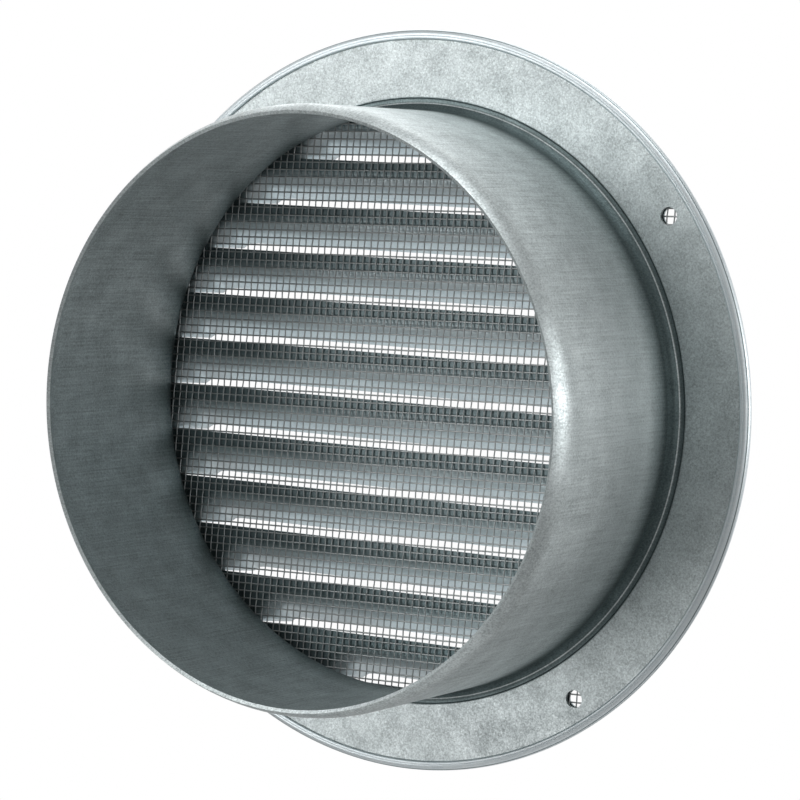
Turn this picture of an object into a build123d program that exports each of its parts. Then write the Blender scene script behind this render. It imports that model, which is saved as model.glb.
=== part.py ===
from build123d import *
from math import cos, radians, sin, sqrt, tan
import os

# Round louvred vent grille with a duct collar, in millimetres.
# The axis lies along Y, with +Z up as the grille hangs on a wall. The wall's face is the plane
# y = 0: the collar goes into the wall towards +Y, and the louvred face looks out towards -Y.

# Duct collar and its flange, drawn from one sheet
collar_diameter = 149.0      # outside of the straight wall, for a 150 mm duct
collar_length = 58.0         # from the flange's back face to the free end
collar_sheet = 0.9           # sheet thickness of collar and flange
root_radius = 4.0            # hollow bend between collar and flange, on the wall side
flange_width = 14.8          # flat part of the flange, from the root bend to its edge
lip_radius = 12.0            # bend that draws the free end inwards
lip_turn = 32.0              # degrees that this bend turns

# Wire cloth, with strands much coarser than the real wires
cloth_thickness = 0.9
cloth_setback = 1.4          # from the flange's edge to the edge of the cloth
strand_pitch = 17.0
strand_width = 1.6
strand_sink = 0.3            # how far upright and level strands sink into each other

# Louvred front plate, hemmed over the flange
plate_sheet = 0.7            # sheet thickness of the plate
hem_clearance = 0.1          # from the flange's edge to the start of the hem's bend
hem_lap = 0.93               # flat part of the hem, from its bend to its edge
louvre_height = 7.6          # from the cut to the bend line above it
louvre_land = 4.7            # flat strip between one louvre's cut and the next bend line
louvre_rise = 1.6            # the louvre's free edge stands this far above its cut
louvre_bend = 3.3            # radius of the bend, on the front face
louvre_lean = 50.0           # degrees that the louvre leans out of the plate
louvre_margin = 6.0          # least room above and below the louvres, inside the opening
louvre_drop = 2.9            # the block of louvres sits this far below the axis

# Screw holes through flange, cloth and plate
screw_count = 4
screw_hole_diameter = 4.5
screw_edge_distance = 6.2    # from a hole's centre to the flange's edge
screw_start_angle = 54.3     # degrees from +X towards +Z

# Corners of the straight runs in which each bend is drawn
root_corners = 3
lip_corners = 2
hem_outside_corners = 4
hem_inside_corners = 2
louvre_bend_corners = 2
louvre_end_flats = 3         # flats that turn a louvre's end through a quarter round

# Radii that follow from these sizes
collar_radius = collar_diameter / 2
opening_radius = collar_radius + root_radius
flange_radius = opening_radius + flange_width
screw_circle_radius = flange_radius - screw_edge_distance
cloth_radius = flange_radius - cloth_setback
hem_bend_radius = flange_radius + hem_clearance
hem_edge_radius = hem_bend_radius - hem_lap

# Depths along Y, from the wall's face outwards
flange_back = -plate_sheet
flange_front = flange_back - collar_sheet
plate_back = flange_front - cloth_thickness
plate_front = plate_back - plate_sheet
hem_bend_depth = plate_front / 2
collar_end = flange_back + collar_length

# A tool longer than the stack of sheets is thick, for holes that go right through
through_depth = 2 * abs(plate_front)


def polar_point(centre, radius, angle):
    """The point at this radius and angle, in degrees, about the centre."""
    return centre[0] + radius * cos(radians(angle)), centre[1] + radius * sin(radians(angle))


def bend_corners(centre, radius, start, turn, count):
    """Corners of a bend from the start angle through the turn, with straight runs that touch its arc."""
    step = turn / count
    corner_radius = radius / cos(radians(step / 2))
    return [polar_point(centre, corner_radius, start + (index + 0.5) * step) for index in range(count)]


with BuildSketch(Plane.XZ) as screw_holes:
    with PolarLocations(screw_circle_radius, screw_count, start_angle=screw_start_angle):
        Circle(screw_hole_diameter / 2)


# Collar: flange, root bend, straight wall and lip are one outline turned about the axis
lip_start = collar_end - lip_radius * sin(radians(lip_turn))
lip_centre = (collar_radius - lip_radius, lip_start)
lip_inner_radius = lip_radius - collar_sheet
root_centre = (opening_radius, flange_back + root_radius)
root_front_radius = root_radius + collar_sheet
collar_outline = [
    (flange_radius, flange_front),
    (flange_radius, flange_back),
    *bend_corners(root_centre, root_radius, 270, -90, root_corners),
    *bend_corners(lip_centre, lip_radius, 0, lip_turn, lip_corners),
    polar_point(lip_centre, lip_radius, lip_turn),
    polar_point(lip_centre, lip_inner_radius, lip_turn),
    *bend_corners(lip_centre, lip_inner_radius, lip_turn, -lip_turn, lip_corners),
    *bend_corners(root_centre, root_front_radius, 180, 90, root_corners),
]

with BuildPart() as spigot_collar:
    with BuildSketch(Plane.XY):
        Polygon(*collar_outline, align=None)
    revolve(axis=Axis.Y)
    extrude(screw_holes.sketch, amount=through_depth, both=True, mode=Mode.SUBTRACT)

spigot_collar.part.label = "spigot_collar"


# Wire cloth: a clamped border, with upright strands in front and level strands behind
strand_thickness = (cloth_thickness + strand_sink) / 2
strand_count = int(2 * opening_radius // strand_pitch)
strand_length = 2 * cloth_radius
strand_end_radius = (opening_radius + screw_circle_radius - screw_hole_diameter / 2) / 2

with BuildPart() as insect_mesh:
    with BuildSketch(Plane.XZ.offset(-flange_front)):
        Circle(cloth_radius)
        Circle(opening_radius, mode=Mode.SUBTRACT)
    extrude(amount=cloth_thickness)
    with BuildSketch(Plane.XZ.offset(-plate_back)):
        with GridLocations(strand_pitch, strand_pitch, strand_count, 1):
            Rectangle(strand_width, strand_length)
        Circle(strand_end_radius, mode=Mode.INTERSECT)
    extrude(amount=-strand_thickness)
    with BuildSketch(Plane.XZ.offset(-flange_front)):
        with GridLocations(strand_pitch, strand_pitch, 1, strand_count):
            Rectangle(strand_length, strand_width)
        Circle(strand_end_radius, mode=Mode.INTERSECT)
    extrude(amount=strand_thickness)
    extrude(screw_holes.sketch, amount=through_depth, both=True, mode=Mode.SUBTRACT)

insect_mesh.part.label = "insect_mesh"


# Louvres: a section run along the louvre, and turned round each end in flats.
# The section's u runs up from the cut, and v runs out from the plate's back face.
bend_centre = (louvre_height, plate_sheet + louvre_bend)
louvre_reach = 2 * opening_radius


def section_plane(end_x, turn):
    """The section's plane on a louvre's end axis, with u turned this many degrees from +Z towards +X."""
    across = (sin(radians(turn)), 0, cos(radians(turn)))
    along = (cos(radians(turn)), 0, -sin(radians(turn)))
    return Plane(origin=(end_x, 0, 0), x_dir=across, z_dir=along)


def louvre_body(half_length, bend_radius, low_u, low_v):
    """A louvre's filled form: from low_u up to its bend, and from low_v out to its slope."""
    bend = bend_corners(bend_centre, bend_radius, 270, -louvre_lean, louvre_bend_corners)
    slope_u, slope_v = bend[-1]
    top_v = slope_v + (slope_u - low_u) * tan(radians(louvre_lean))
    slope = [(bend[0][0], low_v), *bend, (low_u, top_v)]
    flat_turn = 90 / louvre_end_flats
    with BuildPart() as body:
        with BuildSketch(section_plane(0, 0)):
            Polygon(*slope, (low_u, low_v), align=None)
        extrude(amount=opening_radius, both=True)
        for side in (-1, 1):
            for flat in range(1, louvre_end_flats + 1):
                with BuildSketch(section_plane(side * half_length, side * flat * flat_turn)):
                    Polygon(*slope, (-louvre_reach, top_v), (-louvre_reach, low_v), align=None)
                extrude(amount=louvre_reach, both=True, mode=Mode.INTERSECT)
    return body.part


def straight_half_length(cut_height):
    """Half the straight run of the louvre at this height, so that its ends meet the opening's circle."""
    if cut_height > 0:
        return sqrt((opening_radius - louvre_height) ** 2 - cut_height**2)
    return sqrt(opening_radius**2 - cut_height**2) - louvre_height


louvre_pitch = louvre_height + louvre_land
louvre_room = 2 * (opening_radius - louvre_margin)
louvre_count = int((louvre_room + louvre_land) // louvre_pitch)
lowest_cut = (louvre_land - louvre_count * louvre_pitch) / 2 - louvre_drop
louvres = []
for row in range(louvre_count):
    cut_height = lowest_cut + row * louvre_pitch
    half_length = straight_half_length(cut_height)
    shell = louvre_body(half_length, louvre_bend, louvre_rise, 0)
    hollow = louvre_body(half_length, louvre_bend + plate_sheet, 0, -plate_sheet)
    louvres.append((cut_height, shell, hollow))


# Plate: a disc with its rim hemmed over the flange, then the louvres
hem_outer_bend = abs(hem_bend_depth)
hem_inner_bend = hem_outer_bend - plate_sheet
hem_centre = (hem_bend_radius, hem_bend_depth)
plate_outline = [
    (0, plate_back),
    *bend_corners(hem_centre, hem_inner_bend, -90, 180, hem_inside_corners),
    (hem_edge_radius, flange_back),
    (hem_edge_radius, 0),
    *bend_corners(hem_centre, hem_outer_bend, 90, -180, hem_outside_corners),
    (0, plate_front),
]

with BuildPart() as louvre_plate:
    with BuildSketch(Plane.XY):
        Polygon(*plate_outline, align=None)
    revolve(axis=Axis.Y)
    for cut_height, shell, hollow in louvres:
        with Locations((0, plate_back, cut_height)):
            add(shell)
            add(hollow, mode=Mode.SUBTRACT)
    extrude(screw_holes.sketch, amount=through_depth, both=True, mode=Mode.SUBTRACT)

louvre_plate.part.label = "louvre_plate"


os.makedirs("parts", exist_ok=True)
for piece in (spigot_collar, insect_mesh, louvre_plate):
    export_step(piece.part, f"parts/{piece.part.label}.step")
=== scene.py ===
"""Louvred vent grille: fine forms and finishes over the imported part, and its studio."""

import logging
from collections.abc import Sequence
from dataclasses import dataclass, field
from enum import Enum
from math import cos, pi, radians, sin, sqrt, tan

import bmesh
import bpy
import numpy as np
from mathutils import Matrix, Vector


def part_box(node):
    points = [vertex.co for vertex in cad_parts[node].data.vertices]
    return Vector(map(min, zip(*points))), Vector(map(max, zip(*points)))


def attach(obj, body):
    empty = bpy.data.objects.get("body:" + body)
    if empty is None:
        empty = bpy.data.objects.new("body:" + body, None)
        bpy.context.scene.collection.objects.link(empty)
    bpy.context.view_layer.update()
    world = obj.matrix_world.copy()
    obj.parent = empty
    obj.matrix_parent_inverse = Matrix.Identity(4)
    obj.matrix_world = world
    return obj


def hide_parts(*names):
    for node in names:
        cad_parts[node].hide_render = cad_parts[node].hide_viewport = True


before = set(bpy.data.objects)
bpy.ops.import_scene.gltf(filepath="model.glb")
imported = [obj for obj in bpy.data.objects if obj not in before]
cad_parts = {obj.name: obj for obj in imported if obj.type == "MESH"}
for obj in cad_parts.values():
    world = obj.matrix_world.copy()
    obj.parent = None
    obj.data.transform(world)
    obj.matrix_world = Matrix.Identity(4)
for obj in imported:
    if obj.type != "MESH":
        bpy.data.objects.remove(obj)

LOG = logging.getLogger("vent_grille")
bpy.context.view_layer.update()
MM = 0.001
BODY = "root"

MIDDLE = 0.5  # of a noise, a tone or a ramp, which all run from 0 to 1
JUST_OVER = 1.001  # factors that keep two points of a mesh from falling together
JUST_UNDER = 0.999

Point = tuple[float, float]
Place = tuple[float, float, float]
Colour = tuple[float, float, float, float]
Face = Sequence[int]
Socket = bpy.types.NodeSocket
Feed = Socket | float | Place | Colour
NodeOwner = bpy.types.Material | bpy.types.World


class Joining(Enum):
    """How cutting or filling bodies change a mesh."""

    CUT_AWAY = "DIFFERENCE"
    FILL_IN = "UNION"


class MarkRun(Enum):
    """Which way a sheet's fine marks run, as a stretch of the object's X, Y and Z."""

    ALONG_AXIS = (2600.0, 60.0, 2600.0)
    LEVEL = (90.0, 2600.0, 2600.0)


class ShadeSide(Enum):
    """Which faces of a sheet its bands of painted shade show on."""

    ALL_ROUND = "all round"
    BEHIND = "behind"


class WireRun(Enum):
    """Which way a wire runs in the cloth."""

    UP = "up"
    ACROSS = "across"


class Sum(Enum):
    """The sums that tones and levels are worked out with."""

    ADD = "ADD"
    TAKE_AWAY = "SUBTRACT"
    TIMES = "MULTIPLY"
    LARGER = "MAXIMUM"
    SMALLER = "MINIMUM"


class Blend(Enum):
    """How one colour is laid over another."""

    COVER = "MIX"
    TIMES = "MULTIPLY"


def arc(centre: Point, radius: float, start: float, turn: float, steps: int) -> list[Point]:
    """Points along an arc, both ends included.

    Args:
        centre: The arc's centre.
        radius: Its radius in metres.
        start: The angle of its first point in degrees.
        turn: The angle that it turns through in degrees, negative for clockwise.
        steps: How many equal steps it is divided into.

    Returns:
        The points, one more than there are steps.
    """
    angles = [radians(start + turn * step / steps) for step in range(steps + 1)]
    return [(centre[0] + radius * cos(a), centre[1] + radius * sin(a)) for a in angles]


def round_angles(count: int) -> np.ndarray:
    """The angles of this many equal steps round a full turn, in radians."""
    return np.linspace(0.0, 2.0 * pi, count, endpoint=False)


def band_faces(low: int, high: int, count: int) -> list[Face]:
    """Faces between two rings of points.

    Args:
        low: The number of the first ring's first point.
        high: The number of the second ring's first point.
        count: How many points each ring has.

    Returns:
        One face for each step round the rings.
    """
    steps = [(step, (step + 1) % count) for step in range(count)]
    return [(low + step, high + step, high + after, low + after) for step, after in steps]


def mesh_object(name: str, points: np.ndarray, faces: list[Face]) -> bpy.types.Object:
    """A new object in the scene with this mesh.

    Args:
        name: The object's name.
        points: Vertex positions, one row each, in metres.
        faces: Lists of vertex numbers.

    Returns:
        The object.
    """
    mesh = bpy.data.meshes.new(name)
    mesh.from_pydata(points.tolist(), [], faces)
    form = bmesh.new()
    form.from_mesh(mesh)
    bmesh.ops.recalc_face_normals(form, faces=form.faces)
    form.to_mesh(mesh)
    form.free()
    piece = bpy.data.objects.new(name, mesh)
    bpy.context.scene.collection.objects.link(piece)
    return piece


def turned_body(
    name: str, outline: list[Point], segments: int, capped: bool = False
) -> bpy.types.Object:
    """A body turned about the Y axis.

    Args:
        name: The object's name.
        outline: Radius and depth of each point, in order round the section.
        segments: How many steps the full turn has.
        capped: Whether the outline stays open and its two ends are closed with flat discs.

    Returns:
        The object, a closed mesh.
    """
    angles = round_angles(segments)
    rings = np.array(outline)
    points = np.empty((len(rings), segments, 3))
    points[:, :, 0] = rings[:, :1] * np.cos(angles)
    points[:, :, 1] = rings[:, 1:]
    points[:, :, 2] = rings[:, :1] * np.sin(angles)
    faces: list[Face] = []
    for ring in range(len(rings) - 1 if capped else len(rings)):
        faces += band_faces(ring * segments, (ring + 1) % len(rings) * segments, segments)
    if capped:
        last = (len(rings) - 1) * segments
        faces.append(list(range(segments)))
        faces.append(list(range(last + segments - 1, last - 1, -1)))
    return mesh_object(name, points.reshape(-1, 3), faces)


def settle_modifiers(piece: bpy.types.Object) -> None:
    """Turns what the piece's modifiers show into its own mesh.

    Args:
        piece: The object, which is left with no modifiers.
    """
    shown = piece.evaluated_get(bpy.context.evaluated_depsgraph_get())
    mesh = bpy.data.meshes.new_from_object(shown)
    piece.modifiers.clear()
    before = piece.data
    piece.data = mesh
    bpy.data.meshes.remove(before)


def join_bodies(
    piece: bpy.types.Object, bodies: list[bpy.types.Object], joining: Joining
) -> None:
    """Cuts bodies out of a piece or adds them to it, and removes them from the scene.

    Args:
        piece: The object that changes.
        bodies: Closed meshes.
        joining: Whether they are cut away or filled in.
    """
    tools = bpy.data.collections.new("tools")
    bpy.context.scene.collection.children.link(tools)
    for body in bodies:
        tools.objects.link(body)
        bpy.context.scene.collection.objects.unlink(body)
    modifier = piece.modifiers.new("join", "BOOLEAN")
    modifier.operation = joining.value
    modifier.operand_type = "COLLECTION"
    modifier.collection = tools
    modifier.solver = "EXACT"
    settle_modifiers(piece)
    for body in bodies:
        bpy.data.objects.remove(body)
    bpy.data.collections.remove(tools)


def smooth_shade(
    piece: bpy.types.Object, sharp_above: float = 32.0, flat_weight: int = 100
) -> None:
    """Shades a piece smooth, with edges above an angle left sharp and flat faces kept flat.

    Args:
        piece: The object.
        sharp_above: The angle in degrees.
        flat_weight: How far large faces outweigh small ones.
    """
    mesh = piece.data
    mesh.polygons.foreach_set("use_smooth", [True] * len(mesh.polygons))
    mesh.set_sharp_from_angle(angle=radians(sharp_above))
    weighting = piece.modifiers.new("flat_faces", "WEIGHTED_NORMAL")
    weighting.keep_sharp = True
    weighting.weight = flat_weight
    settle_modifiers(piece)


def add_piece(
    piece: bpy.types.Object, material: bpy.types.Material, node: str
) -> None:
    """Dresses a finished piece and puts it in its CAD node's place.

    Args:
        piece: The object.
        material: Its finish.
        node: The CAD node that it stands for.
    """
    piece.data.materials.clear()
    piece.data.materials.append(material)
    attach(piece, BODY)
    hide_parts(node)


class NodeSheet:
    """The nodes of a material or of the surroundings, added one line each."""

    MIX_INPUTS = (0, 6, 7)  # share, first colour and second colour of a mix node
    MIX_RESULT = 2

    def __init__(self, owner: NodeOwner) -> None:
        """Gives the owner an empty node tree.

        Args:
            owner: The material or the surroundings that the nodes are for.
        """
        self.owner = owner
        self.owner.use_nodes = True
        self.tree = self.owner.node_tree
        self.tree.nodes.clear()

    def add(
        self, kind: str, settings: dict[str, str] | None = None, **inputs: Feed
    ) -> bpy.types.Node:
        """Adds one node.

        Args:
            kind: The node's type.
            settings: The node's own properties.
            inputs: Values or sockets for its inputs, with spaces in their names as underscores.

        Returns:
            The node.
        """
        node = self.tree.nodes.new(kind)
        for key, value in (settings or {}).items():
            setattr(node, key, value)
        for key, value in inputs.items():
            self.feed(node.inputs[key.replace("_", " ")], value)
        return node

    def feed(self, socket: Socket, value: Feed) -> None:
        """Links a socket to another, or sets its value.

        Args:
            socket: The input socket.
            value: An output socket, or the value to set.
        """
        if isinstance(value, Socket):
            self.tree.links.new(value, socket)
        else:
            socket.default_value = value

    def math(self, kind: Sum, first: Feed, second: Feed) -> Socket:
        """The result of one sum on two values or sockets.

        Args:
            kind: The sum.
            first: A number or a socket.
            second: A number or a socket.

        Returns:
            The output socket.
        """
        node = self.add("ShaderNodeMath", {"operation": kind.value})
        self.feed(node.inputs[0], first)
        self.feed(node.inputs[1], second)
        return node.outputs[0]

    def blend(self, kind: Blend, share: Feed, first: Feed, second: Feed) -> Socket:
        """Two colours blended into one.

        Args:
            kind: How the second is laid over the first.
            share: How much of the second colour is taken, as a number or a socket.
            first: A colour or a socket.
            second: A colour or a socket.

        Returns:
            The output socket.
        """
        node = self.add("ShaderNodeMix", {"data_type": "RGBA", "blend_type": kind.value})
        for index, value in zip(self.MIX_INPUTS, (share, first, second)):
            self.feed(node.inputs[index], value)
        return node.outputs[self.MIX_RESULT]

    def tones(self, tone: Socket, dark: Colour, light: Colour) -> Socket:
        """A colour that goes from a dark one to a light one with a tone.

        Args:
            tone: The tone, from 0 to 1.
            dark: The colour at 0.
            light: The colour at 1.

        Returns:
            The output socket.
        """
        ramp = self.add("ShaderNodeValToRGB", Fac=tone)
        for stop, colour in zip(ramp.color_ramp.elements, (dark, light)):
            stop.color = colour
        return ramp.outputs["Color"]

    def finish(self, shader: Socket) -> NodeOwner:
        """Leads a shader to the surface output.

        Args:
            shader: The shader's socket.

        Returns:
            The material or the surroundings, now complete.
        """
        around = isinstance(self.owner, bpy.types.World)
        output = "ShaderNodeOutputWorld" if around else "ShaderNodeOutputMaterial"
        self.add(output, Surface=shader)
        return self.owner


@dataclass(frozen=True)
class Mottle:
    """One layer of uneven tone in a sheet's zinc."""

    scale: float
    detail: float
    roughness: float
    share: float

    def swing(self, sheet: NodeSheet, place: Socket) -> Socket:
        """How far this layer takes the tone from its middle.

        Args:
            sheet: The material's nodes.
            place: The position that the layer goes by.

        Returns:
            The output socket.
        """
        noise = sheet.add(
            "ShaderNodeTexNoise",
            Vector=place,
            Scale=self.scale,
            Detail=self.detail,
            Roughness=self.roughness,
        )
        off_middle = sheet.math(Sum.TAKE_AWAY, noise.outputs["Fac"], MIDDLE)
        return sheet.math(Sum.TIMES, off_middle, self.share / MIDDLE)


@dataclass(frozen=True)
class GalvanisedSheet:
    """Zinc-coated steel sheet with fine spangle, clouding and marks of rolling or drawing.

    Its bands are painted shade: pairs of depth along the axis and tone, from 0 for black to 1
    for plain sheet, and its shade tint is the power of that tone in red, green and blue, which
    makes the painted shade less red. Where the bands show only behind, faces count as front up
    to one Y of their normals and as behind from the other, and the front takes one even painted
    shade.
    """

    name: str
    dark: Colour
    light: Colour
    run: MarkRun
    metallic: float = 1.0
    roughness: float = 0.6
    roughness_spread: float = 0.14
    spangle: Mottle = Mottle(scale=2000.0, detail=3.0, roughness=0.6, share=0.8)
    clouding: Mottle = Mottle(scale=140.0, detail=4.0, roughness=0.6, share=0.45)
    marks: Mottle = Mottle(scale=1.0, detail=2.0, roughness=0.5, share=0.45)
    bump_strength: float = 0.3
    bump_height: float = 0.05 * MM
    shade_bands: tuple[tuple[float, float], ...] = ()
    shade_side: ShadeSide = ShadeSide.ALL_ROUND
    shade_tint: tuple[float, float, float] = (1.12, 1.0, 0.99)
    # Painted shade: the even tone that faces towards the front take in place of the bands.
    front_shade_level: float = 0.8
    front_facing: float = -0.6
    edge_facing: float = 0.0

    def material(self) -> bpy.types.Material:
        """Builds the finish.

        Returns:
            The material.
        """
        sheet = NodeSheet(bpy.data.materials.new(self.name))
        place = sheet.add("ShaderNodeTexCoord").outputs["Object"]
        stretched = sheet.add("ShaderNodeMapping", Vector=place, Scale=self.run.value).outputs[0]
        tone: Feed = MIDDLE
        for layer, where in (
            (self.spangle, place),
            (self.clouding, place),
            (self.marks, stretched),
        ):
            tone = sheet.math(Sum.ADD, layer.swing(sheet, where), tone)
        colour = sheet.tones(tone, self.dark, self.light)
        if self.shade_bands:
            colour = self.paint_shade_bands(sheet, colour, place)
        darker = sheet.math(Sum.TAKE_AWAY, MIDDLE, tone)
        rougher = sheet.math(Sum.TIMES, darker, self.roughness_spread)
        bump = sheet.add(
            "ShaderNodeBump",
            Strength=self.bump_strength,
            Distance=self.bump_height,
            Height=tone,
        )
        shader = sheet.add(
            "ShaderNodeBsdfPrincipled",
            Base_Color=colour,
            Metallic=self.metallic,
            Roughness=sheet.math(Sum.ADD, rougher, self.roughness),
            Normal=bump.outputs["Normal"],
        )
        return sheet.finish(shader.outputs["BSDF"])

    def paint_shade_bands(self, sheet: NodeSheet, colour: Socket, place: Socket) -> Socket:
        """Paints shade on the sheet in bands along the axis, where it lies in shade.

        Args:
            sheet: The material's nodes.
            colour: The sheet's colour.
            place: The position on the object.

        Returns:
            The banded colour.
        """
        # Painted shade: a ramp of darker tones by depth along the axis, multiplied into the
        # sheet's colour.
        first, last = self.shade_bands[0][0], self.shade_bands[-1][0]
        depth = sheet.add("ShaderNodeSeparateXYZ", Vector=place).outputs["Y"]
        along = sheet.add("ShaderNodeMapRange", Value=depth, From_Min=first, From_Max=last)
        ramp = sheet.add("ShaderNodeValToRGB", Fac=along.outputs[0])
        stops = ramp.color_ramp.elements
        while len(stops) < len(self.shade_bands):
            stops.new(MIDDLE)
        for stop, (at, tone) in zip(stops, self.shade_bands):
            stop.position = (at - first) / (last - first)
            stop.color = (*[tone**power for power in self.shade_tint], 1.0)
        level = ramp.outputs["Color"]
        if self.shade_side is ShadeSide.BEHIND:
            normal = sheet.add("ShaderNodeNewGeometry").outputs["Normal"]
            behind = sheet.add(
                "ShaderNodeMapRange",
                Value=sheet.add("ShaderNodeSeparateXYZ", Vector=normal).outputs["Y"],
                From_Min=self.front_facing,
                From_Max=self.edge_facing,
            )
            # Faces towards the front take one even painted shade in place of the bands.
            front = (self.front_shade_level, self.front_shade_level, self.front_shade_level, 1.0)
            level = sheet.blend(Blend.COVER, behind.outputs[0], front, level)
        return sheet.blend(Blend.TIMES, 1.0, colour, level)


@dataclass(frozen=True)
class DrawnWire:
    """Zinc-coated drawn wire, a little uneven along its length."""

    name: str
    dark: Colour
    light: Colour
    metallic: float = 1.0
    roughness: float = 0.55
    uneven_scale: float = 420.0
    uneven_detail: float = 2.0

    def material(self) -> bpy.types.Material:
        """Builds the finish.

        Returns:
            The material.
        """
        sheet = NodeSheet(bpy.data.materials.new(self.name))
        uneven = sheet.add(
            "ShaderNodeTexNoise",
            Vector=sheet.add("ShaderNodeTexCoord").outputs["Object"],
            Scale=self.uneven_scale,
            Detail=self.uneven_detail,
        )
        shader = sheet.add(
            "ShaderNodeBsdfPrincipled",
            Base_Color=sheet.tones(uneven.outputs["Fac"], self.dark, self.light),
            Metallic=self.metallic,
            Roughness=self.roughness,
        )
        return sheet.finish(shader.outputs["BSDF"])


@dataclass(frozen=True)
class MattFloor:
    """Pale matt floor with a faint grain."""

    name: str = "pale_floor"
    dark: Colour = (0.84, 0.84, 0.84, 1.0)
    light: Colour = (0.88, 0.88, 0.88, 1.0)
    grain_scale: float = 30.0
    grain_detail: float = 3.0

    def material(self) -> bpy.types.Material:
        """Builds the finish.

        Returns:
            The material.
        """
        sheet = NodeSheet(bpy.data.materials.new(self.name))
        grain = sheet.add(
            "ShaderNodeTexNoise",
            Vector=sheet.add("ShaderNodeTexCoord").outputs["Object"],
            Scale=self.grain_scale,
            Detail=self.grain_detail,
        )
        colour = sheet.tones(grain.outputs["Fac"], self.dark, self.light)
        return sheet.finish(sheet.add("ShaderNodeBsdfDiffuse", Color=colour).outputs[0])


@dataclass(frozen=True)
class ScrewHoles:
    """The ring of screw holes through flange and plate."""

    circle_radius: float = 87.1 * MM
    hole_radius: float = 2.25 * MM
    count: int = 4
    first_angle: float = 54.3
    tool_length: float = 20.0 * MM
    segments: int = 40

    def tools(self) -> list[bpy.types.Object]:
        """Round bodies that cut the holes.

        Returns:
            One closed mesh per hole.
        """
        half = self.tool_length / 2
        outline = [(self.hole_radius, -half), (self.hole_radius, half)]
        bodies = []
        for index in range(self.count):
            angle = radians(self.first_angle + 360.0 * index / self.count)
            across, up = self.circle_radius * cos(angle), self.circle_radius * sin(angle)
            body = turned_body(f"hole_{index}", outline, self.segments, capped=True)
            body.data.transform(Matrix.Translation((across, 0.0, up)))
            bodies.append(body)
        return bodies


@dataclass
class SpigotCollar:
    """The duct collar with its flange, drawn from one sheet.

    At the root, the flange rolls into a narrow crease and the wall flares to meet it.
    """

    flange_radius: float
    front_depth: float
    end_depth: float
    holes: ScrewHoles = field(default_factory=ScrewHoles)
    wall_radius: float = 74.5 * MM
    sheet: float = 0.9 * MM
    root_radius: float = 4.0 * MM
    root_steps: int = 14
    roll_radius: float = 0.8 * MM
    roll_out: float = 3.6 * MM
    roll_turn: float = 50.0
    roll_steps: int = 6
    crease_out: float = 2.5 * MM
    crease_sink: float = 0.3 * MM
    flare_radius: float = 4.0 * MM
    flare_rise: float = 3.37 * MM
    flare_turn: float = 60.0
    flare_steps: int = 12
    lip_radius: float = 12.0 * MM
    lip_turn: float = 32.0
    lip_steps: int = 12
    segments: int = 360
    node: str = "spigot_collar"
    slot: str = "collar_sheet"

    @classmethod
    def from_frame(cls) -> "SpigotCollar":
        """The collar with its reach taken from its CAD node."""
        low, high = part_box(cls.node)
        return cls(flange_radius=high[0], front_depth=low[1], end_depth=high[1])

    def outline(self) -> list[Point]:
        """The section from the flange's edge round the root, the wall and the lip, and back.

        Returns:
            Radius and depth of each point.
        """
        back = self.front_depth + self.sheet
        root = (self.wall_radius + self.root_radius, back + self.root_radius)
        lip_start = self.end_depth - self.lip_radius * sin(radians(self.lip_turn))
        lip = (self.wall_radius - self.lip_radius, lip_start)
        points = [(self.flange_radius, self.front_depth), (self.flange_radius, back)]
        points += self.crease(back)
        points += arc(lip, self.lip_radius, 0, self.lip_turn, self.lip_steps)
        points += arc(
            lip, self.lip_radius - self.sheet, self.lip_turn, -self.lip_turn, self.lip_steps
        )
        points += arc(root, self.root_radius + self.sheet, 180, 90, self.root_steps)
        return points

    def crease(self, back: float) -> list[Point]:
        """The wall side of the root.

        Args:
            back: The depth of the flange's back face.

        Returns:
            Radius and depth of each point, from the flange to the wall.
        """
        roll = (self.wall_radius + self.roll_out, back - self.roll_radius)
        flare = (self.wall_radius + self.flare_radius, back + self.flare_rise)
        points = arc(roll, self.roll_radius, 90, self.roll_turn, self.roll_steps)
        points.append((self.wall_radius + self.crease_out, back - self.crease_sink))
        points += arc(
            flare, self.flare_radius, 180 + self.flare_turn, -self.flare_turn, self.flare_steps
        )
        return points

    def build(self, finish: GalvanisedSheet) -> bpy.types.Object:
        """Makes and dresses the collar.

        Args:
            finish: Its sheet.

        Returns:
            The piece.
        """
        piece = turned_body("collar_with_flange", self.outline(), self.segments)
        join_bodies(piece, self.holes.tools(), Joining.CUT_AWAY)
        smooth_shade(piece)
        add_piece(piece, finish.material(), self.node)
        return piece


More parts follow.
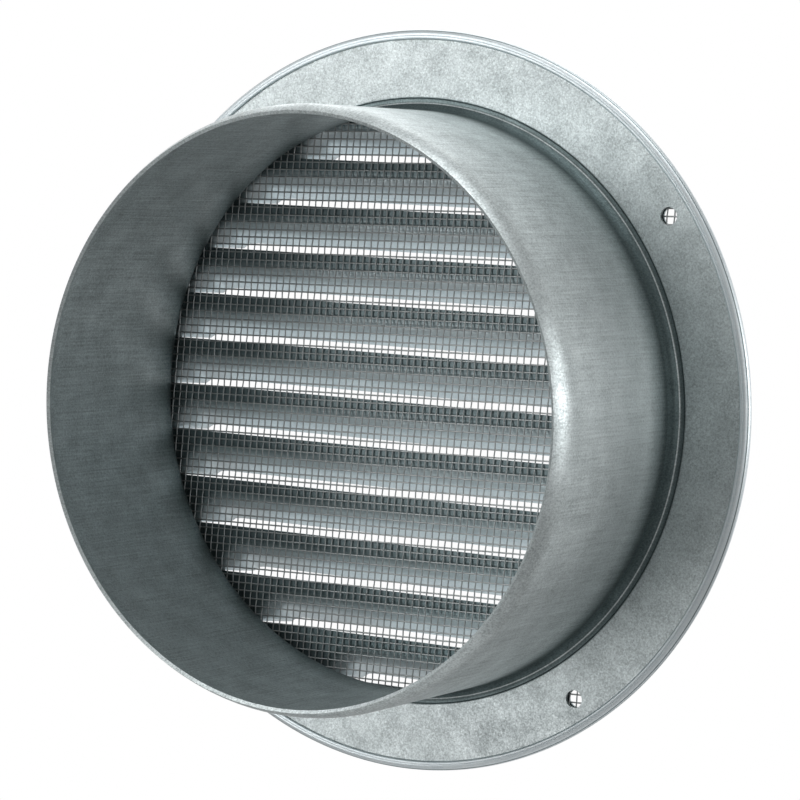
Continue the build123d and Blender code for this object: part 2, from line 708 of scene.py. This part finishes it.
@dataclass
class InsectMesh:
    """Plain woven wire cloth between flange and plate.

    Its wires stand half a pitch off the middle, swing by a share of their diameter where they
    cross, and lean a little, as racked cloth does.
    """

    radius: float
    middle_depth: float
    pitch: float = 2.0 * MM
    offset: float = 0.5
    wire_diameter: float = 0.4 * MM
    swing: float = 0.28
    racking: float = 0.08
    turn: float = 1.4
    sides: int = 6
    spare_crossings: int = 3
    node: str = "insect_mesh"
    slot: str = "wire_cloth"

    @classmethod
    def from_frame(cls) -> "InsectMesh":
        """The cloth with its reach and place taken from its CAD node."""
        low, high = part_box(cls.node)
        return cls(radius=high[0], middle_depth=(low[1] + high[1]) / 2)

    def wire(self, index: int, numbers: np.ndarray, run: WireRun) -> np.ndarray:
        """Rings of one wire, which passes over and under the wires that it crosses.

        Args:
            index: The wire's number across the cloth.
            numbers: The numbers of the wires that it may cross.
            run: Which way it runs.

        Returns:
            An array of rings, sides and coordinates.
        """
        upright = run is WireRun.UP
        beside = (index + self.offset) * self.pitch
        steps = (numbers + self.offset) * self.pitch
        across = beside - self.racking * steps if upright else steps - self.racking * beside
        up = steps if upright else np.full_like(steps, beside)
        over = np.where((numbers + index) % 2 == 0, self.swing, -self.swing)
        over = over * self.wire_diameter
        depth = self.middle_depth + (over if upright else -over)
        middles = np.stack([across, depth, up], axis=1)[np.hypot(across, up) < self.radius]
        angles = round_angles(self.sides)
        ring = np.stack([np.cos(angles), np.sin(angles), np.zeros(self.sides)], axis=1)
        ring = ring * self.wire_diameter / 2
        return middles[:, None, :] + (ring if upright else ring[:, [2, 1, 0]])[None]

    def weave(self) -> tuple[np.ndarray, list[Face]]:
        """All the wires, each closed at its ends.

        Returns:
            The points and the faces.
        """
        count = int(self.radius / self.pitch - self.offset)
        numbers = np.arange(-count - self.spare_crossings, count + self.spare_crossings)
        points: list[np.ndarray] = []
        faces: list[Face] = []
        first = 0
        for run in WireRun:
            for index in range(-count - 1, count + 1):
                rings = self.wire(index, numbers, run)
                points.append(rings.reshape(-1, 3))
                last = first + (len(rings) - 1) * self.sides
                for low in range(first, last, self.sides):
                    faces += band_faces(low, low + self.sides, self.sides)
                faces.append(list(range(first, first + self.sides)))
                faces.append(list(range(last, last + self.sides)))
                first = last + self.sides
        return np.concatenate(points), faces

    def build(self, finish: DrawnWire) -> bpy.types.Object:
        """Weaves and dresses the cloth.

        Args:
            finish: Its wire.

        Returns:
            The piece.
        """
        piece = mesh_object("woven_wire_cloth", *self.weave())
        piece.data.transform(Matrix.Rotation(radians(self.turn), 4, "Y"))
        piece.data.polygons.foreach_set("use_smooth", [True] * len(piece.data.polygons))
        add_piece(piece, finish.material(), self.node)
        return piece


@dataclass
class LouvrePlate:
    """The front plate with its pressed louvres, and its rim hemmed over the flange.

    A louvre's section has its reach up from the cut and its depth out from the plate's back.
    """

    rim_radius: float
    holes: ScrewHoles = field(default_factory=ScrewHoles)
    sheet: float = 0.7 * MM
    plate_front: float = -3.2 * MM
    hem_inside_steps: int = 14
    hem_outside_from: float = 82.0
    hem_outside_steps: int = 20
    hem_edge_radius: float = 92.47 * MM
    hem_round: float = 0.6 * MM
    hem_round_from: float = 167.0
    hem_round_turn: float = 110.0
    hem_round_steps: int = 8
    opening_radius: float = 78.5 * MM
    louvre_count: int = 12
    louvre_height: float = 10.8 * MM
    louvre_land: float = 1.5 * MM
    louvre_rise: float = 1.6 * MM
    louvre_bend: float = 9.0 * MM
    louvre_lean: float = 46.0
    bend_steps: int = 10
    least_reach: float = 0.1 * MM
    lowest_cut: float = -74.35 * MM
    end_taper: float = 5.0 * MM
    end_steps: int = 14
    foot_shares: Point = (0.35, 1.0)
    rise_shares: Point = (0.75, 1.0)
    segments: int = 360
    node: str = "louvre_plate"
    slot: str = "plate_sheet"

    @classmethod
    def from_frame(cls) -> "LouvrePlate":
        """The plate with its reach taken from its CAD node."""
        return cls(rim_radius=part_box(cls.node)[1][0])

    def outline(self) -> list[Point]:
        """The section from the middle of the back face round the hem to the front face.

        Returns:
            Radius and depth of each point.
        """
        bend = abs(self.plate_front) / 2
        centre = (self.rim_radius - bend, -bend)
        round_centre = (self.hem_edge_radius + self.hem_round, -self.hem_round)
        points = arc(centre, bend - self.sheet, -90, 180, self.hem_inside_steps)
        points += arc(
            round_centre,
            self.hem_round,
            self.hem_round_from,
            -self.hem_round_turn,
            self.hem_round_steps,
        )
        points += arc(
            centre,
            bend,
            self.hem_outside_from,
            -90 - self.hem_outside_from,
            self.hem_outside_steps,
        )
        return points

    def louvre_section(self, bend_radius: float, low: float, start: float) -> list[Point]:
        """A louvre's slope from the plate round the bend to its free edge.

        Args:
            bend_radius: The bend's radius on this face.
            low: How far above the cut the slope ends.
            start: The depth that it starts from.

        Returns:
            Reach and depth of each point.
        """
        centre = (self.louvre_height, self.sheet + self.louvre_bend)
        points = [(self.louvre_height, start)]
        points += arc(centre, bend_radius, 270, -self.louvre_lean, self.bend_steps)
        bend_reach, bend_depth = points[-1]
        reach = max(low, self.least_reach) * JUST_OVER
        depth = bend_depth + (bend_reach - reach) * tan(radians(self.louvre_lean))
        return [*points, (reach, depth)]

    def louvre_ring(
        self, half_length: float, low: float, reach: float, depth: float
    ) -> np.ndarray:
        """One level line round a louvre, with quarter-round ends that taper to their feet.

        Args:
            half_length: Half the louvre's straight run.
            low: How far above the cut the louvre ends.
            reach: How far up from the cut the line runs.
            depth: How far out from the plate's back it runs.

        Returns:
            The points, with the cut at Z 0 and the plate's back at Y 0.
        """
        turns = np.linspace(pi / 2, 0.0, self.end_steps + 1)
        side, height = half_length + reach * np.sin(turns), reach * np.cos(turns)
        foot = half_length + reach - self.end_taper * np.array(self.foot_shares)
        rise = np.minimum(low * np.array(self.rise_shares), reach * JUST_UNDER)
        across = np.concatenate([foot[::-1], side, -side[::-1], -foot])
        up = np.concatenate([rise[::-1], height, height[::-1], rise])
        return np.stack([across, np.full_like(across, -depth), up], axis=1)

    def louvre_body(
        self, half_length: float, bend_radius: float, low: float, start: float
    ) -> tuple[np.ndarray, list[Face]]:
        """A louvre's filled form as a stack of rings.

        Args:
            half_length: Half its straight run.
            bend_radius: The bend's radius on this face.
            low: How far above the cut the form ends.
            start: The depth that it starts from.

        Returns:
            The points and the faces.
        """
        section = self.louvre_section(bend_radius, low, start)
        rings = [self.louvre_ring(half_length, low, reach, depth) for reach, depth in section]
        size = len(rings[0])
        last = (len(rings) - 1) * size
        faces: list[Face] = [list(range(size))]
        for first in range(0, last, size):
            faces += band_faces(first + size, first, size)
        faces.append(list(range(last + size - 1, last - 1, -1)))
        return np.concatenate(rings), faces

    def straight_half_length(self, cut: float) -> float:
        """Half the straight run of a louvre whose ends meet the opening's circle.

        Args:
            cut: The height of the louvre's cut.

        Returns:
            The length in metres.
        """
        if cut > 0:
            return sqrt((self.opening_radius - self.louvre_height) ** 2 - cut**2)
        return sqrt(self.opening_radius**2 - cut**2) - self.louvre_height

    def louvres(self) -> tuple[list[bpy.types.Object], list[bpy.types.Object]]:
        """The rows of louvres, from the lowest up.

        Returns:
            The filled forms, and the hollows that are cut from behind.
        """
        shells, hollows = [], []
        for row in range(self.louvre_count):
            cut = self.lowest_cut + row * (self.louvre_height + self.louvre_land)
            half = self.straight_half_length(cut)
            place = Matrix.Translation((0.0, self.plate_front + self.sheet, cut))
            shell = self.louvre_body(half, self.louvre_bend, self.louvre_rise, self.sheet / 2)
            hollow = self.louvre_body(half, self.louvre_bend + self.sheet, 0.0, -self.sheet)
            for group, name, body in ((shells, "shell", shell), (hollows, "hollow", hollow)):
                group.append(mesh_object(f"{name}_{row}", *body))
                group[-1].data.transform(place)
        return shells, hollows

    def build(self, finish: GalvanisedSheet) -> bpy.types.Object:
        """Makes and dresses the plate.

        Args:
            finish: Its sheet.

        Returns:
            The piece.
        """
        piece = turned_body("louvred_plate", self.outline(), self.segments, capped=True)
        shells, hollows = self.louvres()
        join_bodies(piece, shells, Joining.FILL_IN)
        join_bodies(piece, hollows + self.holes.tools(), Joining.CUT_AWAY)
        smooth_shade(piece)
        add_piece(piece, finish.material(), self.node)
        return piece


@dataclass(frozen=True)
class SoftLamp:
    """A large soft lamp that looks at the object."""

    name: str
    place: Place
    size: float
    power: float

    def build(self) -> bpy.types.Object:
        """Adds the lamp.

        Returns:
            The lamp's object.
        """
        light = bpy.data.lights.new(self.name, "AREA")
        light.shape = "DISK"
        light.size = self.size
        light.energy = self.power
        lamp = bpy.data.objects.new(self.name, light)
        lamp.location = self.place
        lamp.visible_camera = False
        lamp.rotation_euler = (-Vector(self.place)).to_track_quat("-Z", "Y").to_euler()
        bpy.context.scene.collection.objects.link(lamp)
        return lamp


@dataclass
class Studio:
    """Pale floor, white surroundings, soft lamps and the camera.

    The surroundings fade from white to the room's level with the direction of a ray, along the
    camera's aim and down to the ground. The camera sees them white all round.
    """

    floor_level: float = -0.95
    floor_radius: float = 0.8
    floor_segments: int = 96
    floor_finish: MattFloor = MattFloor()
    white: Colour = (1.0, 1.0, 1.0, 1.0)
    room_level: float = 0.22
    plain_level: float = 0.5
    room_from: float = 0.1
    backdrop_from: float = 0.8
    ground_from: float = -0.6
    horizon_from: float = -0.28
    camera_place: Place = (-0.41212, 0.692844, 0.06362)
    camera_aim: Place = (0.51233, -0.855223, -0.07817)
    camera_up: Place = (0.075555, -0.045784, 0.99609)
    lens: float = 142.0
    sensor_width: float = 36.0
    lamps: tuple[SoftLamp, ...] = (
        SoftLamp("left_lamp", (0.52, 0.81, 0.43), 0.7, 3.25),
        SoftLamp("top_lamp", (-0.25, 0.15, 1.00), 0.9, 4.2),
        SoftLamp("right_lamp", (-1.00, -0.30, 0.12), 0.5, 2.6),
        SoftLamp("low_lamp", (0.485, 0.76, -0.305), 0.5, 0.95),
        SoftLamp("room_lamp", (-0.92, 0.62, 0.10), 0.5, 0.9),
        SoftLamp("front_lamp", (0.45, -0.95, 0.55), 0.7, 1.5),
    )

    def build_floor(self) -> bpy.types.Object:
        """Adds the pale floor.

        Returns:
            The floor.
        """
        angles = round_angles(self.floor_segments)
        level = np.full_like(angles, self.floor_level / self.floor_radius)
        edge = np.stack([np.cos(angles), np.sin(angles), level], axis=1) * self.floor_radius
        floor = mesh_object("floor", edge, [list(range(self.floor_segments))])
        floor.data.materials.append(self.floor_finish.material())
        return floor

    def fade(self, sheet: NodeSheet, value: Socket, low: float, high: float) -> Socket:
        """A soft step from the room's level to white.

        Args:
            sheet: The surroundings' nodes.
            value: What the step goes by.
            low: Where the room's level ends.
            high: Where white starts.

        Returns:
            The level's socket.
        """
        step = sheet.add(
            "ShaderNodeMapRange",
            {"interpolation_type": "SMOOTHSTEP"},
            Value=value,
            From_Min=low,
            From_Max=high,
            To_Min=self.room_level,
        )
        return step.outputs[0]

    def build_world(self) -> None:
        """Sets the surroundings, for metal white behind the object and grey before it."""
        sheet = NodeSheet(bpy.data.worlds.new("surroundings"))
        towards = sheet.add("ShaderNodeTexCoord").outputs["Generated"]
        facing = sheet.add("ShaderNodeVectorMath", {"operation": "DOT_PRODUCT"})
        sheet.feed(facing.inputs[0], towards)
        sheet.feed(facing.inputs[1], self.camera_aim)
        height = sheet.add("ShaderNodeSeparateXYZ", Vector=towards).outputs["Z"]
        backdrop = self.fade(sheet, facing.outputs["Value"], self.room_from, self.backdrop_from)
        above_floor = self.fade(sheet, height, self.ground_from, self.horizon_from)
        rays = sheet.add("ShaderNodeLightPath").outputs
        mirrored = sheet.math(Sum.LARGER, rays["Is Glossy Ray"], rays["Is Transmission Ray"])
        most = sheet.math(Sum.LARGER, mirrored, self.plain_level)
        level = sheet.math(Sum.SMALLER, sheet.math(Sum.SMALLER, backdrop, above_floor), most)
        strength = sheet.math(Sum.LARGER, level, rays["Is Camera Ray"])
        glow = sheet.add("ShaderNodeBackground", Color=self.white, Strength=strength)
        bpy.context.scene.world = sheet.finish(glow.outputs[0])

    def build_camera(self) -> bpy.types.Object:
        """Adds the camera and makes it the scene's.

        Returns:
            The camera.
        """
        lens = bpy.data.cameras.new("camera")
        lens.lens = self.lens
        lens.sensor_width = self.sensor_width
        camera = bpy.data.objects.new("camera", lens)
        ahead = Vector(self.camera_aim).normalized()
        right = ahead.cross(Vector(self.camera_up)).normalized()
        up = right.cross(ahead)
        turn = Matrix((right, up, -ahead)).transposed().to_4x4()
        camera.matrix_world = Matrix.Translation(self.camera_place) @ turn
        bpy.context.scene.collection.objects.link(camera)
        bpy.context.scene.camera = camera
        return camera

    def build(self) -> None:
        """Builds the whole studio."""
        bpy.context.scene.view_settings.view_transform = "Standard"
        self.build_floor()
        self.build_world()
        self.build_camera()
        for lamp in self.lamps:
            lamp.build()


# Painted shade: the collar is painted dark in the crease at its root, and the shade clears along
# the wall. One hairline at plain tone is left between the painted shade where the flare begins,
# so it reads as a bright line.
COLLAR_FINISH = GalvanisedSheet(
    "galvanised_collar",
    dark=(0.38, 0.425, 0.43, 1.0),
    light=(0.84, 0.91, 0.915, 1.0),
    run=MarkRun.ALONG_AXIS,
    roughness=0.45,
    shade_bands=(
        (-1.3 * MM, 0.3),
        (-0.8 * MM, 0.3),
        (-0.75 * MM, 1.0),
        (-0.65 * MM, 1.0),
        (-0.6 * MM, 0.22),
        (0.6 * MM, 0.22),
        (2.0 * MM, 0.35),
        (6.0 * MM, 0.7),
        (12.0 * MM, 1.0),
    ),
)

# Painted shade: from behind, the plate is painted dark on the strips between the louvres and in
# a line along the hem.
PLATE_FINISH = GalvanisedSheet(
    "galvanised_plate",
    dark=(0.77, 0.85, 0.885, 1.0),
    light=(0.91, 0.97, 0.985, 1.0),
    run=MarkRun.LEVEL,
    roughness=0.46,
    shade_side=ShadeSide.BEHIND,
    shade_bands=(
        (-5.0 * MM, 1.0),
        (-3.4 * MM, 1.0),
        (-2.85 * MM, 0.5),
        (-2.6 * MM, 0.26),
        (-2.4 * MM, 0.26),
        (-2.2 * MM, 1.0),
        (-0.80 * MM, 1.0),
        (-0.72 * MM, 0.25),
        (-0.58 * MM, 0.3),
        (-0.50 * MM, 1.0),
        (0.01 * MM, 1.0),
    ),
)
WIRE_FINISH = DrawnWire(
    "galvanised_wire", dark=(0.41, 0.43, 0.43, 1.0), light=(0.65, 0.67, 0.67, 1.0)
)


def main() -> None:
    """Builds the grille's parts and the studio in order, and reports each piece."""
    logging.basicConfig(level=logging.INFO, format="%(name)s: %(message)s")
    for part_class, finish in (
        (SpigotCollar, COLLAR_FINISH),
        (InsectMesh, WIRE_FINISH),
        (LouvrePlate, PLATE_FINISH),
    ):
        part = part_class.from_frame()
        piece = part.build(finish)
        faces = len(piece.data.polygons)
        LOG.info("%s stands for %s with %d faces", piece.name, part.node, faces)
    Studio().build()


if __name__ == "__main__":
    main()
